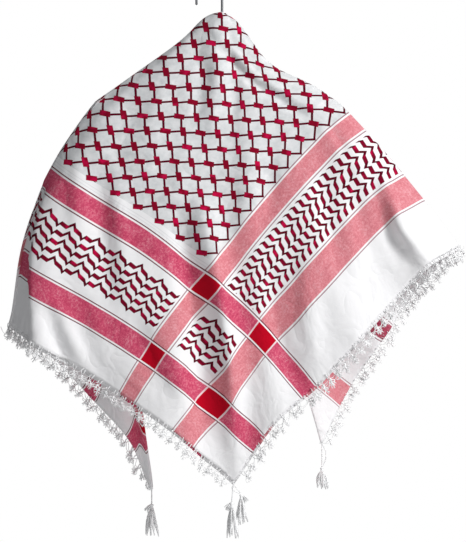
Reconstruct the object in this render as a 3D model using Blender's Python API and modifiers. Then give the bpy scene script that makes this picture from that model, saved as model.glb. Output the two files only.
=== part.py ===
"""A keffiyeh headscarf that hangs on a clothes hanger.

The scarf is one square of cloth, folded corner to corner into a double triangle and laid over
the hanger like a shawl.  The fold passes in front of the hook's stem, goes over both arms and
falls behind them, so the two fold ends hang at the back and the two free corners hang together
at the front.  Every point of the cloth is worked out from the table LINES, which follows the
cloth line by line from the left fold edge, round the front, to the right fold edge.

Metres, +Z up, the front looks along -Y.  The origin is the inner top of the hook.
"""

import math
from collections import namedtuple

import bmesh
import bpy
from mathutils import Vector

MM = 0.001
SEAM_GAP = 0.3 * MM
FOLD_CLEAR = 1.1 * MM             # between the inner layer and the rounded fold
HEM_CLEAR = 0.8 * MM              # between a hem and its fringe
WELD = 0.001 * MM
HOOK_STEPS = 12

# The cut of the cloth
SIDE = 1170 * MM                  # side of the square
FRONT_LEFT_TO_NECK = 634 * MM     # from the neck to the front left hem, across the cloth
FRONT_RIGHT_TO_NECK = SIDE - FRONT_LEFT_TO_NECK
CLOTH = 1.5 * MM                  # wall thickness
LAYER_SPACE = 3.5 * MM            # free space between the two layers
INNER_OFFSET = CLOTH + LAYER_SPACE
NECK_SLACK = 3.5 * MM             # the layers part a little more round the neck
NECK_SLACK_SHARE = 0.25
NECK_FOLD_LEAN = 20.0             # degrees the rounded fold rises where it passes the stem
INNER_DROP = 9 * MM               # the inner layer's hem shows below the outer one

# The hook and the neck of the hanger
HOOK_RADIUS = 21 * MM             # of the wire's centre line
WIRE_RADIUS = 2 * MM
HOOK_CENTRE = Vector((0, 0, WIRE_RADIUS - HOOK_RADIUS))
HOOK_TIP_DROP = 10 * MM
NECK = Vector((HOOK_RADIUS, -9 * MM, -41 * MM))   # where the fold lies on the hanger's neck

# The hanger's body: a rod with two sloping arms and a boss that takes the hook
ROD_RADIUS = 4.5 * MM
ROD_TOP_DROP = 47 * MM            # from the neck down to the rod's centre, in the middle
BOSS_RADIUS = 7 * MM
BOSS_TOP_DROP = 20 * MM
BEND_SHARE = 0.03                 # the bend at the middle takes this share of each arm
ARMS = (
    # reach along x, slope below the horizontal
    (-184 * MM, math.radians(30.3)),
    (192 * MM, math.radians(34.0)),
)

# Distances from the neck, along the cloth
NECK_TURN = 45 * MM               # within this the cloth turns from level to its slope
NECK_ROUND = 10 * MM
NECK_DEPTH_TURN = 10 * MM
INNER_TOP = Vector((0, 1.5 * MM, -9 * MM))   # from the neck to the inner layer's top
SHOULDER = 240 * MM               # the arms end here
DIP_PLACE = 100 * MM              # the cloth dips towards the right arm here
DIP_WIDTH = 60 * MM
DIP_ANGLE = 10.0                  # degrees
DIP_LINE = 19.5                   # the line in LINES with the deepest dip
DIP_LINES = 3.0
HANG_EASE = 1.3                   # the lines turn soon after the shoulder, then hang straight

# One row for each line that runs down the cloth from the neck.  cut_* is the line's direction
# in the flat triangle and turn_* the one it hangs in, both in degrees from straight down,
# positive to the right.  depth_* is how far it lies behind the hanger's plane in mm, and
# reach_* the hanging length over the flat length.
Line = namedtuple("Line", "cut_top cut_hem turn_neck turn_top turn_hem "
                          "depth_neck depth_top depth_hem reach_top reach_hem")
LINES = [Line(*row) for row in (
    # left flap behind the hanger, from the fold edge outwards
    (-90.0, -90.0, -60, -24.0, -8.5, 13, 17, 50, 1.00, 0.890),
    (-85.0, -84.5, -66, -28.8, -10.4, 11, 20, 58, 1.00, 0.925),
    (-79.0, -77.0, -71, -34.6, -13.6, 9, 18, 50, 1.01, 0.950),
    (-72.0, -70.0, -76, -41.5, -19.2, 6, 19, 64, 1.03, 0.960),
    (-66.0, -61.0, -81, -47.3, -26.6, 3, 16, 50, 1.04, 0.965),
    (-60.5, -53.0, -85, -52.2, -32.8, 0, 10, 36, 1.05, 0.985),
    (-56.0, -47.5, -87, -55.2, -34.8, -3, 0, 6, 1.06, 0.994),
    # front
    (-51.5, -43.5, -84, -52.4, -32.8, -6, -10, -20, 1.06, 0.994),
    (-47.0, -39.0, -76, -47.5, -29.2, -9, -14, -36, 1.05, 0.990),
    (-36.0, -31.0, -58, -35.0, -22.0, -13, -18, -36, 1.02, 0.970),
    (-24.5, -22.0, -38, -22.0, -14.3, -16, -20, -50, 0.99, 0.953),
    (-14.0, -13.0, -18, -10.0, -6.2, -18, -21, -60, 0.985, 0.934),
    (-4.8, -4.8, -2, 0.6, 1.4, -19, -22, -44, 0.985, 0.937),
    (3.0, 3.0, 12, 9.0, 7.1, -19, -22, -62, 0.985, 0.948),
    (11.0, 10.4, 26, 17.4, 13.6, -18, -21, -52, 0.985, 0.984),
    (18.5, 20.0, 42, 25.6, 21.7, -16, -19, -58, 0.99, 1.000),
    (26.0, 30.0, 52, 33.6, 30.3, -13, -18, -44, 1.00, 1.005),
    (33.0, 38.6, 58, 41.4, 38.6, -9, -17, -46, 1.01, 1.000),
    (40.5, 44.0, 63, 49.5, 43.2, -6, -10, -24, 1.04, 1.020),
    (44.5, 48.0, 66, 52.3, 45.6, -3, 0, 2, 1.055, 1.035),
    # right flap behind the hanger
    (48.5, 52.5, 70, 49.5, 43.4, 0, 10, 34, 1.055, 1.020),
    (54.0, 58.0, 67, 44.4, 38.6, 3, 16, 38, 1.04, 1.010),
    (61.0, 65.5, 63, 37.6, 33.0, 6, 18, 64, 1.02, 0.995),
    (70.0, 73.5, 58, 29.0, 27.2, 9, 20, 46, 1.00, 0.980),
    (80.0, 82.0, 52, 19.5, 18.9, 12, 20, 70, 1.00, 0.980),
    (90.0, 90.0, 45, 10.0, 13.2, 13, 18, 52, 1.00, 0.965),
)]
LEFT_FOLD = 0
FRONT_CORNER = 12
RIGHT_FOLD = len(LINES) - 1

# Folds on top of that: places along LINES near the shoulder and at the hem, the share of the way
# to the hem where each starts, its half width in lines, and its height in mm (out is positive)
Fold = namedtuple("Fold", "place_top place_hem start width height")
FOLDS = [Fold(*row) for row in (
    (6.4, 8.1, 0.35, 0.65, 9),
    (8.9, 9.6, 0.55, 0.60, -8),
    (10.6, 11.4, 0.60, 0.60, 6),
    (12.4, 12.1, 0.70, 0.60, -8),
    (14.6, 15.0, 0.45, 0.60, 7),
    (16.4, 16.2, 0.40, 0.60, -6),
    (17.2, 17.2, 0.30, 0.60, 8),
    (4.2, 4.4, 0.50, 0.60, -9),
    (22.5, 22.6, 0.50, 0.60, -9),
)]

COLUMNS_PER_LINE = 2
RINGS = 14
RING_SPREAD = 1.15                # rings lie closer together at the neck
FOLD_STEPS = 4                    # round the half turn of the folded edge
PLACE_PROBE = 0.4                 # steps for slopes: in lines, and as a share of the length
SHARE_PROBE = 0.025

# Fringe: a narrow band along each hem with knotted locks
BAND_HEIGHT = 3 * MM
LOCK_SPACING = 24 * MM
INNER_LOCK_SPACING = 38 * MM
LOCK_WIDTH = 6 * MM
LOCK_DROP = 13 * MM               # to the lock's widest place
LOCK_TIP = 21 * MM
LOCK_SWELL = 9 * MM
LOCK_DEPTH = 2.6 * MM             # through the cloth, so that the two fringes pass
CORNER_CLEAR = 6 * MM             # the bands stop short of the corners
FRINGE_AWAY = 0.75                # how far the fringe follows the cloth rather than its weight

# Tassels: a cord, a bound head and a skirt of strands
TASSEL_SIDES = 9
CORD_RADIUS = 1.4 * MM
Tassel = namedtuple("Tassel", "name place inner cord head skirt head_radius skirt_radius lean")
TASSELS = [Tassel(*row) for row in (
    ("tassel_left_end", 0, False, 24 * MM, 9 * MM, 52 * MM, 6.5 * MM, 10 * MM, (0, 0)),
    ("tassel_front_outer", 12, False, 30 * MM, 11 * MM, 52 * MM, 6.0 * MM, 9 * MM,
     (-3 * MM, -3 * MM)),
    ("tassel_front_inner", 12, True, 14 * MM, 9 * MM, 44 * MM, 5.5 * MM, 8 * MM,
     (14 * MM, 4 * MM)),
    ("tassel_right_end", 25, False, 42 * MM, 8 * MM, 30 * MM, 6.0 * MM, 13 * MM, (0, 0)),
)]

Finish = namedtuple("Finish", "colour roughness metallic")
FINISHES = {
    "red_white_cotton": Finish((0.72, 0.36, 0.38), 0.9, 0.0),
    "white_cotton": Finish((0.86, 0.84, 0.84), 0.9, 0.0),
    "dark_steel": Finish((0.12, 0.12, 0.13), 0.35, 1.0),
    "black_plastic": Finish((0.05, 0.05, 0.055), 0.45, 0.0),
}


def catmull_rom(before, start, end, after, share):
    """Smooth value between start and end that keeps the slope of its neighbours."""
    linear = 0.5 * (end - before)
    square = before - 2.5 * start + 2 * end - 0.5 * after
    cube = 0.5 * (after - before) + 1.5 * (start - end)
    return start + share * (linear + share * (square + share * cube))


def line_at(place):
    """The cloth's line at a place along LINES, between rows as well."""
    index = min(max(math.floor(place), 0), RIGHT_FOLD - 1)
    rows = [LINES[min(max(index + step, 0), RIGHT_FOLD)] for step in (-1, 0, 1, 2)]
    return Line(*(catmull_rom(*values, place - index) for values in zip(*rows)))


def hem_distance(cut_angle):
    """Flat distance from the neck to the hem in one direction of the triangle."""
    down, across = math.cos(math.radians(cut_angle)), math.sin(math.radians(cut_angle))
    to_left_hem = FRONT_LEFT_TO_NECK * math.sqrt(2) / max(down - across, 0.01)
    to_right_hem = FRONT_RIGHT_TO_NECK * math.sqrt(2) / max(down + across, 0.01)
    return min(to_left_hem, to_right_hem)


def mix(start, end, share):
    return start + (end - start) * share


def bell(distance, width):
    return math.exp(-(distance / width) ** 2)


def fold_height(place, share, below):
    """How far the folds push the cloth out at a place."""
    height = 0.0
    for fold in FOLDS:
        centre = mix(fold.place_top, fold.place_hem, below)
        growth = max(share - fold.start, 0.0) / (1 - fold.start)
        height += fold.height * growth * bell(place - centre, fold.width)
    return height


def cloth_point(place, share, extra=0.0):
    """Point of the cloth's outer face: place along LINES, share of the way to the hem."""
    line = line_at(place)
    top_share = SHOULDER / hem_distance(line.cut_hem)
    below = min(max((share - top_share) / (1 - top_share), 0.0), 1.0)
    eased = 1 - (1 - below) ** HANG_EASE
    cut = mix(line.cut_top, line.cut_hem, eased)
    length = share * hem_distance(cut) + extra * below

    turn = mix(line.turn_top, line.turn_hem, eased)
    turn += (line.turn_neck - line.turn_top) * bell(length, NECK_TURN)
    turn -= DIP_ANGLE * bell(length - DIP_PLACE, DIP_WIDTH) * bell(place - DIP_LINE, DIP_LINES)

    depth = mix(line.depth_top, line.depth_hem, eased)
    depth += (line.depth_neck - line.depth_top) * bell(length, 2 * NECK_TURN)
    depth -= fold_height(place, share, below)
    depth = mix(depth, NECK.y / MM, bell(length, NECK_DEPTH_TURN))

    rounding = NECK_ROUND * max(math.cos(math.radians(cut)), 0.0)
    hanging = math.hypot(length, rounding) - rounding
    hanging *= mix(line.reach_top, line.reach_hem, below ** 2)
    angle = math.radians(turn)
    return Vector((NECK.x + hanging * math.sin(angle), depth * MM,
                   NECK.z - hanging * math.cos(angle)))


def cloth_axes(place, share, extra=0.0):
    """Outward normal, direction square to the line towards growing place, and down the line."""
    share = max(share, 1.5 * SHARE_PROBE)
    before, after = share - SHARE_PROBE, min(share + SHARE_PROBE, 1.0)
    down = cloth_point(place, after, extra) - cloth_point(place, before, extra)
    along = cloth_point(place + PLACE_PROBE, share, extra)
    along -= cloth_point(place - PLACE_PROBE, share, extra)
    down.normalize()
    normal = down.cross(along).normalized()
    return normal, normal.cross(down), down


def column_places():
    return [index / COLUMNS_PER_LINE for index in range(RIGHT_FOLD * COLUMNS_PER_LINE + 1)]


def ring_shares():
    return [(index / RINGS) ** RING_SPREAD for index in range(1, RINGS + 1)]


def inner_extra(place):
    """The inner layer hangs lower than the outer one, except at the folded edges."""
    from_edge = min(place - LEFT_FOLD, RIGHT_FOLD - place)
    return INNER_DROP * min(from_edge / 3.0, 1.0)


def outer_face(place, share):
    return cloth_point(place, share)


def inner_face(place, share):
    """Outer face of the inner layer, under the outer layer."""
    extra = inner_extra(place)
    normal, across, down = cloth_axes(place, share, extra)
    slack = NECK_SLACK * max(1 - share / NECK_SLACK_SHARE, 0.0)
    point = cloth_point(place, share, extra) - normal * (INNER_OFFSET + slack)
    if place == LEFT_FOLD:
        point += across * FOLD_CLEAR
    if place == RIGHT_FOLD:
        point -= across * FOLD_CLEAR
    return point


def half_turn(point, outwards, normal, step):
    """Point on the rounded fold that joins the two layers at the folded edge."""
    radius = CLOTH + LAYER_SPACE / 2
    angle = math.pi * step / FOLD_STEPS
    return point + outwards * radius * math.sin(angle) - normal * radius * (1 - math.cos(angle))


def folded_edge(place, outward_sign, share):
    """The points of one ring round the fold, from the inner layer to the outer face."""
    if share == 0:
        lean = math.radians(NECK_FOLD_LEAN)
        normal = Vector((0, -math.sin(lean), math.cos(lean)))
        outwards = Vector((0, math.cos(lean), math.sin(lean)))
    else:
        normal, across, down = cloth_axes(place, share)
        outwards = across * outward_sign
    point = cloth_point(place, share)
    return [half_turn(point, outwards, normal, step) for step in range(FOLD_STEPS, 0, -1)]


def new_object(name, mesh, finish, collection):
    """Link a mesh as a named object with its own material."""
    model = bpy.data.objects.new(name, mesh)
    material = bpy.data.materials.new(name + "_finish")
    material.use_nodes = True
    shader = material.node_tree.nodes["Principled BSDF"]
    shader.inputs["Base Color"].default_value = (*finish.colour, 1.0)
    shader.inputs["Roughness"].default_value = finish.roughness
    shader.inputs["Metallic"].default_value = finish.metallic
    mesh.materials.append(material)
    collection.objects.link(model)
    return model


def mesh_from(shape, name):
    """Turn a bmesh into a smooth shaded mesh."""
    mesh = bpy.data.meshes.new(name)
    shape.to_mesh(mesh)
    shape.free()
    mesh.shade_smooth()
    return mesh


def sheet(rings):
    """Open surface through rings of points; the first ring may hold coinciding points."""
    shape = bmesh.new()
    grid = [[shape.verts.new(point) for point in ring] for ring in rings]
    for upper, lower in zip(grid, grid[1:]):
        for index in range(len(upper) - 1):
            shape.faces.new((upper[index], lower[index], lower[index + 1], upper[index + 1]))
    bmesh.ops.remove_doubles(shape, verts=shape.verts, dist=WELD)
    bmesh.ops.dissolve_degenerate(shape, edges=shape.edges, dist=WELD)
    return shape


def thicken(model):
    """Give an open sheet its wall, inwards from the outer face."""
    wall = model.modifiers.new("Wall", "SOLIDIFY")
    wall.thickness = CLOTH
    wall.offset = -1
    return model


def outer_layer(collection):
    """The layer that shows, with the rounded fold along both halves of its folded edge."""
    rings = []
    for share in [0.0] + ring_shares():
        left = folded_edge(LEFT_FOLD, -1, share)
        right = folded_edge(RIGHT_FOLD, 1, share)
        rings.append(left + [outer_face(place, share) for place in column_places()] + right[::-1])
    mesh = mesh_from(sheet(rings), "outer_layer")
    return thicken(new_object("outer_layer", mesh, FINISHES["red_white_cotton"], collection))


def inner_layer(collection):
    """The layer under it, which starts just beside the rounded fold."""
    top = NECK + INNER_TOP
    rings = [[top] * len(column_places())]
    for share in ring_shares():
        rings.append([inner_face(place, share) for place in column_places()])
    mesh = mesh_from(sheet(rings), "inner_layer")
    return thicken(new_object("inner_layer", mesh, FINISHES["red_white_cotton"], collection))


def hem_posts(face, extra_of, places):
    """At each column of a hem: its outer and inner rim points and the way the fringe hangs."""
    hem = [face(place, 1.0) for place in places]
    posts = []
    for index, place in enumerate(places):
        normal, across, down = cloth_axes(place, 1.0, extra_of(place))
        edge = hem[min(index + 1, len(hem) - 1)] - hem[max(index - 1, 0)]
        away = (down - edge * down.dot(edge) / edge.length_squared).normalized()
        outer = hem[index] + away * HEM_CLEAR
        hang = away * FRINGE_AWAY - Vector((0, 0, 1 - FRINGE_AWAY))
        hang -= normal * hang.dot(normal)
        posts.append((outer, outer - normal * CLOTH, hang.normalized()))
    for end, beside in ((0, 1), (-1, -2)):
        length = (posts[end][0] - posts[beside][0]).length
        posts[end] = post_between(posts[end], posts[beside], CORNER_CLEAR / length)
    return posts


def post_between(first, second, share):
    return tuple(mix(start, end, share) for start, end in zip(first, second))


def hem_stations(posts, spacing):
    """Posts along a hem, two for each lock, and which segments carry a lock."""
    stations, locks = [posts[0]], []
    for first, second in zip(posts, posts[1:]):
        length = (second[0] - first[0]).length
        count = max(round(length / spacing), 1)
        half = LOCK_WIDTH / 2 / length
        for index in range(count):
            centre = (index + 0.5) / count
            locks.append(len(stations))
            stations.append(post_between(first, second, centre - half))
            stations.append(post_between(first, second, centre + half))
        stations.append(second)
    return stations, locks


def fringe(name, face, extra_of, places, spacing, collection):
    """A band along one hem with knotted locks that hang from it."""
    stations, locks = hem_stations(hem_posts(face, extra_of, places), spacing)
    shape = bmesh.new()
    rings = []
    for outer, inner, hang in stations:
        corners = (outer, outer + hang * BAND_HEIGHT, inner + hang * BAND_HEIGHT, inner)
        rings.append([shape.verts.new(corner) for corner in corners])
    lock_roots = []
    for index, (left, right) in enumerate(zip(rings, rings[1:])):
        for side in range(4):
            after = (side + 1) % 4
            face_here = shape.faces.new((left[side], left[after], right[after], right[side]))
            if side == 1 and index in locks:
                lock_roots.append((face_here, stations[index][2]))
    shape.faces.new(rings[0][::-1])
    shape.faces.new(rings[-1])
    for root, hang in lock_roots:
        grow_lock(shape, root, hang)
    bmesh.ops.recalc_face_normals(shape, faces=shape.faces)
    return new_object(name, mesh_from(shape, name), FINISHES["white_cotton"], collection)


def grow_lock(shape, root, hang):
    """Draw one lock out of the band: it swells to a knot and ends in a point."""
    knot = bmesh.ops.extrude_discrete_faces(shape, faces=[root])["faces"][0]
    centre = knot.calc_center_median()
    short_edge = min(knot.edges, key=lambda edge: edge.calc_length())
    through = (short_edge.verts[0].co - short_edge.verts[1].co).normalized()
    for corner in knot.verts:
        arm = corner.co - centre
        part_through = through * arm.dot(through)
        corner.co = centre + hang * LOCK_DROP
        corner.co += part_through * (LOCK_DEPTH / CLOTH)
        corner.co += (arm - part_through) * (LOCK_SWELL / LOCK_WIDTH)
    tip = bmesh.ops.poke(shape, faces=[knot])["verts"][0]
    tip.co = centre + hang * LOCK_TIP


def tassel(spec, collection):
    """A cord, a bound head and strands that stand apart below it, all one piece."""
    place, face = spec.place, inner_face if spec.inner else outer_face
    top = face(place, 1.0) - Vector((0, 0, HEM_CLEAR))
    waist = spec.cord + spec.head
    profile = (
        # radius, drop from the corner
        (CORD_RADIUS, 0.0),
        (CORD_RADIUS, spec.cord),
        (spec.head_radius, spec.cord + 0.4 * spec.head),
        (0.85 * spec.head_radius, waist),
        (1.1 * spec.head_radius, waist + 0.2 * spec.head),
    )
    shape = bmesh.new()
    rings = []
    for radius, drop in profile:
        lean = Vector((*spec.lean, 0)) if drop >= spec.cord else Vector()
        ring = []
        for index in range(TASSEL_SIDES):
            angle = math.tau * index / TASSEL_SIDES
            spoke = Vector((math.cos(angle), math.sin(angle), 0)) * radius
            ring.append(shape.verts.new(spoke + lean - Vector((0, 0, drop))))
        rings.append(ring)
    for upper, lower in zip(rings, rings[1:]):
        for index in range(TASSEL_SIDES):
            after = (index + 1) % TASSEL_SIDES
            shape.faces.new((upper[index], lower[index], lower[after], upper[after]))
    shape.faces.new(rings[0])
    bottom = shape.faces.new(rings[-1][::-1])
    sectors = bmesh.ops.poke(shape, faces=[bottom])["faces"]
    bmesh.ops.inset_individual(shape, faces=sectors, thickness=0.35 * MM)
    strands = bmesh.ops.extrude_discrete_faces(shape, faces=sectors)["faces"]
    for strand in strands:
        centre = strand.calc_center_median()
        spread = centre - Vector((*spec.lean, centre.z))
        outwards = spread.normalized() * (spec.skirt_radius * 0.75 - spread.length)
        for corner in strand.verts:
            corner.co += outwards + Vector((0, 0, -spec.skirt))
    bmesh.ops.recalc_face_normals(shape, faces=shape.faces)
    model = new_object(spec.name, mesh_from(shape, spec.name), FINISHES["white_cotton"],
                       collection)
    model.location = top
    return model


def tube(name, points, radius, finish, collection):
    """A round rod along a line of points, with closed ends."""
    curve = bpy.data.curves.new(name, "CURVE")
    curve.dimensions = "3D"
    curve.bevel_depth = radius
    curve.bevel_resolution = 2
    curve.use_fill_caps = True
    spline = curve.splines.new("POLY")
    spline.points.add(len(points) - 1)
    for target, point in zip(spline.points, points):
        target.co = (*point, 1.0)
    return new_object(name, curve, finish, collection)


def rod_points():
    """The rod's centre line: both arms, bent at the middle and tilted as it hangs."""
    middle = Vector((NECK.x, 0, NECK.z - ROD_TOP_DROP))
    ends = [middle + Vector((reach, 0, -abs(reach) * math.tan(slope))) for reach, slope in ARMS]
    return [ends[0], mix(middle, ends[0], BEND_SHARE), mix(middle, ends[1], BEND_SHARE), ends[1]]


def hanger_rod(collection):
    return tube("hanger_rod", rod_points(), ROD_RADIUS, FINISHES["black_plastic"], collection)


def hanger_boss(collection):
    """The round boss on the rod's middle that takes the hook's stem."""
    bottom = max(point.z for point in rod_points()) + ROD_RADIUS + 2 * SEAM_GAP
    top = NECK.z - BOSS_TOP_DROP
    shape = bmesh.new()
    bmesh.ops.create_cone(shape, cap_ends=True, segments=16, radius1=BOSS_RADIUS,
                          radius2=BOSS_RADIUS * 0.8, depth=top - bottom)
    mesh = mesh_from(shape, "hanger_boss")
    model = new_object("hanger_boss", mesh, FINISHES["black_plastic"], collection)
    model.location = (NECK.x, 0, (top + bottom) / 2)
    return model


def hook(collection):
    """The steel hook: a straight stem that curls over to the left."""
    stem_foot = Vector((HOOK_RADIUS, 0, NECK.z - BOSS_TOP_DROP + SEAM_GAP))
    points = [stem_foot]
    for step in range(HOOK_STEPS + 1):
        angle = math.pi * step / HOOK_STEPS
        points.append(HOOK_CENTRE + HOOK_RADIUS * Vector((math.cos(angle), 0, math.sin(angle))))
    points.append(points[-1] - Vector((0, 0, HOOK_TIP_DROP)))
    return tube("hook", points, WIRE_RADIUS, FINISHES["dark_steel"], collection)


def clear_scene():
    for model in list(bpy.data.objects):
        bpy.data.objects.remove(model)


def build():
    clear_scene()
    collection = bpy.data.collections.new("keffiyeh_on_hanger")
    bpy.context.scene.collection.children.link(collection)
    outer_layer(collection)
    inner_layer(collection)
    places = column_places()
    left_hem = [place for place in places if place <= FRONT_CORNER]
    right_hem = [place for place in places if place >= FRONT_CORNER]
    no_extra = {place: 0.0 for place in places}.get
    fringe("fringe_outer_left", outer_face, no_extra, left_hem, LOCK_SPACING, collection)
    fringe("fringe_outer_right", outer_face, no_extra, right_hem, LOCK_SPACING, collection)
    fringe("fringe_inner_left", inner_face, inner_extra, left_hem, INNER_LOCK_SPACING, collection)
    fringe("fringe_inner_right", inner_face, inner_extra, right_hem, INNER_LOCK_SPACING,
           collection)
    for spec in TASSELS:
        tassel(spec, collection)
    hanger_rod(collection)
    hanger_boss(collection)
    hook(collection)


build()
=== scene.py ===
# %% [markdown]
# # A keffiyeh on a clothes hanger
#
# The object is a square cotton headscarf, red and white, folded corner to corner and hung over a
# hanger.  This file dresses the plain solids of the frame: it makes the cloth as one thin sheet,
# weaves its pattern, knots its fringe, ties its tassels and finishes the hanger.
#
# The frame comes first.  Everything below is in metres, with +Z up and the front towards -Y, and
# the origin is the inner top of the hook.

# %% Load the frame
import math
import random
from collections import namedtuple
from functools import partialmethod

import bmesh
import bpy
from mathutils import Matrix, Vector, noise


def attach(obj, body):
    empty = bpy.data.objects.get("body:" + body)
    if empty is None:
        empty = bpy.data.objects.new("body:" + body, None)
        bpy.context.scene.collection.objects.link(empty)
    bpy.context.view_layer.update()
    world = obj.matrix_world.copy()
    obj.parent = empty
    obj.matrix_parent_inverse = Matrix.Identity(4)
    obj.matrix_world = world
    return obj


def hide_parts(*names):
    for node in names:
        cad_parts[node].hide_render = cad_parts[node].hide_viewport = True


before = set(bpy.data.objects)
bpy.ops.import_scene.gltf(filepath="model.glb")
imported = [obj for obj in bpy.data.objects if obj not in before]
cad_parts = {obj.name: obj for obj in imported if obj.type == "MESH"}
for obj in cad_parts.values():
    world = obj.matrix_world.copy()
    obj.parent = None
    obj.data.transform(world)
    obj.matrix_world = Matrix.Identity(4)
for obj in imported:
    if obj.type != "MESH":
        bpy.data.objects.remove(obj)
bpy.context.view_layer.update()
MM = 0.001
scene = bpy.context.scene
print("nodes in the frame:", sorted(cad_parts))

# %% [markdown]
# ## Camera, floor and light
#
# The scarf is looked at square from the front, at the height of its middle.  A long lens from
# three metres keeps the left and right folds in proportion; a short lens would make the hem
# bulge towards us.  The floor is pale and lies well below the tassels.  The key lamp stands to the
# right, so that folds get a bright and a dark side.  A weak lamp in front opens the shadows, two
# behind the scarf light its back, and a pale world fills the rest.

# %% Camera
VIEW_CENTRE = Vector((39, -25, -466)) * MM      # the middle of the picture
VIEW_DISTANCE = 3.0
PIXEL = 1.63 * MM                               # size of one pixel at the cloth
IMAGE_HEIGHT = 542
SENSOR = 36                                     # mm, along the picture's height
FAR = 50


def placed(data):
    """A new object in the scene, named like its mesh, curve, lamp or camera."""
    piece = bpy.data.objects.new(data.name, data)
    scene.collection.objects.link(piece)
    return piece


camera_data = bpy.data.cameras.new("camera")
camera_data.sensor_width = SENSOR
camera_data.lens = SENSOR * VIEW_DISTANCE / (IMAGE_HEIGHT * PIXEL)
camera_data.clip_end = FAR
camera = placed(camera_data)
camera.location = VIEW_CENTRE - Vector((0, VIEW_DISTANCE, 0))
camera.rotation_euler = (math.radians(90), 0, 0)
scene.camera = camera
scene.view_settings.view_transform = "Standard"
print("lens %.1f mm at %.1f m" % (camera_data.lens, VIEW_DISTANCE))

# %% Floor
FLOOR_LEVEL, FLOOR_WIDTH = -1.25, 3.0


def new_paint(name):
    """A fresh material, its node tree and its shader."""
    paint = bpy.data.materials.new(name)
    paint.use_nodes = True
    return paint, paint.node_tree, paint.node_tree.nodes["Principled BSDF"]


def set_ports(node, **values):
    """Fixed values on a node's own sockets; an underscore stands for a space."""
    for name, value in values.items():
        node.inputs[name.replace("_", " ")].default_value = value


def finished(shape, name):
    """A smooth mesh from a shape that is under construction."""
    mesh = bpy.data.meshes.new(name)
    shape.to_mesh(mesh)
    shape.free()
    mesh.shade_smooth()
    return mesh


def plain_floor(level, width):
    """A square of pale floor."""
    shape = bmesh.new()
    bmesh.ops.create_grid(shape, x_segments=1, y_segments=1, size=width / 2)
    floor = placed(finished(shape, "floor"))
    floor.location = (0, 0, level)
    paint, _, shader = new_paint("pale_floor")
    set_ports(shader, Base_Color=(0.86, 0.86, 0.86, 1), Roughness=0.9)
    floor.data.materials.append(paint)


plain_floor(FLOOR_LEVEL, FLOOR_WIDTH)
print("floor %.2f m below the hook" % -FLOOR_LEVEL)

# %% Lamps and world
LAMPS = (
    # name, place and width in metres, power in watts
    ("key", (2.3, -2.1, 1.3), 0.7, 118),
    ("fill", (-0.6, -3.3, 0.3), 1.8, 15),
    ("side", (-2.0, 2.4, 0.2), 1.6, 8),
    ("back", (0.6, 2.6, 0.6), 2.0, 62),
)


def area_lamp(name, place, size, power):
    """A soft square lamp that looks at the middle of the scarf."""
    lamp = bpy.data.lights.new(name, "AREA")
    lamp.size = size
    lamp.energy = power
    body = placed(lamp)
    body.location = place
    body.rotation_euler = (VIEW_CENTRE - Vector(place)).to_track_quat("-Z", "Y").to_euler()


def pale_world():
    """The camera sees pure white, and the scarf gets a weak and slightly blue light."""
    world = bpy.data.worlds.new("pale_world")
    world.use_nodes = True
    nodes, links = world.node_tree.nodes, world.node_tree.links
    light = nodes["Background"]
    set_ports(light, Color=(0.93, 0.96, 1.0, 1), Strength=0.12)
    backdrop = nodes.new("ShaderNodeBackground")
    set_ports(backdrop, Color=(1, 1, 1, 1))
    what_ray = nodes.new("ShaderNodeLightPath")
    choose = nodes.new("ShaderNodeMixShader")
    links.new(what_ray.outputs["Is Camera Ray"], choose.inputs[0])
    links.new(light.outputs[0], choose.inputs[1])
    links.new(backdrop.outputs[0], choose.inputs[2])
    links.new(choose.outputs[0], nodes["World Output"].inputs["Surface"])
    return world


for lamp in LAMPS:
    area_lamp(*lamp)
scene.world = pale_world()
print(len(LAMPS), "lamps and a pale world")

# %% [markdown]
# ## How the cloth hangs
#
# On the real thing one square is folded into a double triangle.  The middle of the fold passes in
# front of the hook's stem, and from there the cloth goes over both arms of the hanger.  It could
# be found by a cloth simulation, but then no fold could be put where we want it.  So it is drafted
# like a skirt: a fan of lines runs from the neck to the hem.  For each line the table says in
# which direction it was cut, in which direction it hangs, and how far behind the hanger it lies.

# %% Sizes of the cut
SIDE = 1170 * MM                  # side of the square
FRONT_LEFT_TO_NECK = 634 * MM     # from the neck to the front left hem, across the cloth
FRONT_RIGHT_TO_NECK = SIDE - FRONT_LEFT_TO_NECK
CLOTH = 1.5 * MM                  # wall of the plain solids
LAYER_SPACE = 3.5 * MM            # free space between the two layers
INNER_OFFSET = CLOTH + LAYER_SPACE
NECK_SLACK = 3.5 * MM             # the layers part a little more round the neck
NECK_SLACK_SHARE = 0.25
INNER_DROP = 5 * MM               # the inner layer's hem shows below the outer one
NECK = Vector((21, -9, -41)) * MM     # where the fold lies on the hanger's neck
NECK_TURN = 45 * MM               # within this the cloth turns from level to its slope
NECK_ROUND = 10 * MM
NECK_DEPTH_TURN = 10 * MM
SHOULDER = 240 * MM               # the hanger's arms end here
DIP_PLACE, DIP_WIDTH = 100 * MM, 60 * MM    # here the right edge dips more steeply
DIP_ANGLE = 10.0                  # degrees by which it does
DIP_LINE, DIP_LINES = 19.5, 3.0   # the line with the deepest dip, and how many lines it takes
HANG_EASE = 1.3                   # the lines turn soon after the shoulder, then hang straight
print("square of %.2f m" % SIDE)

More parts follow.
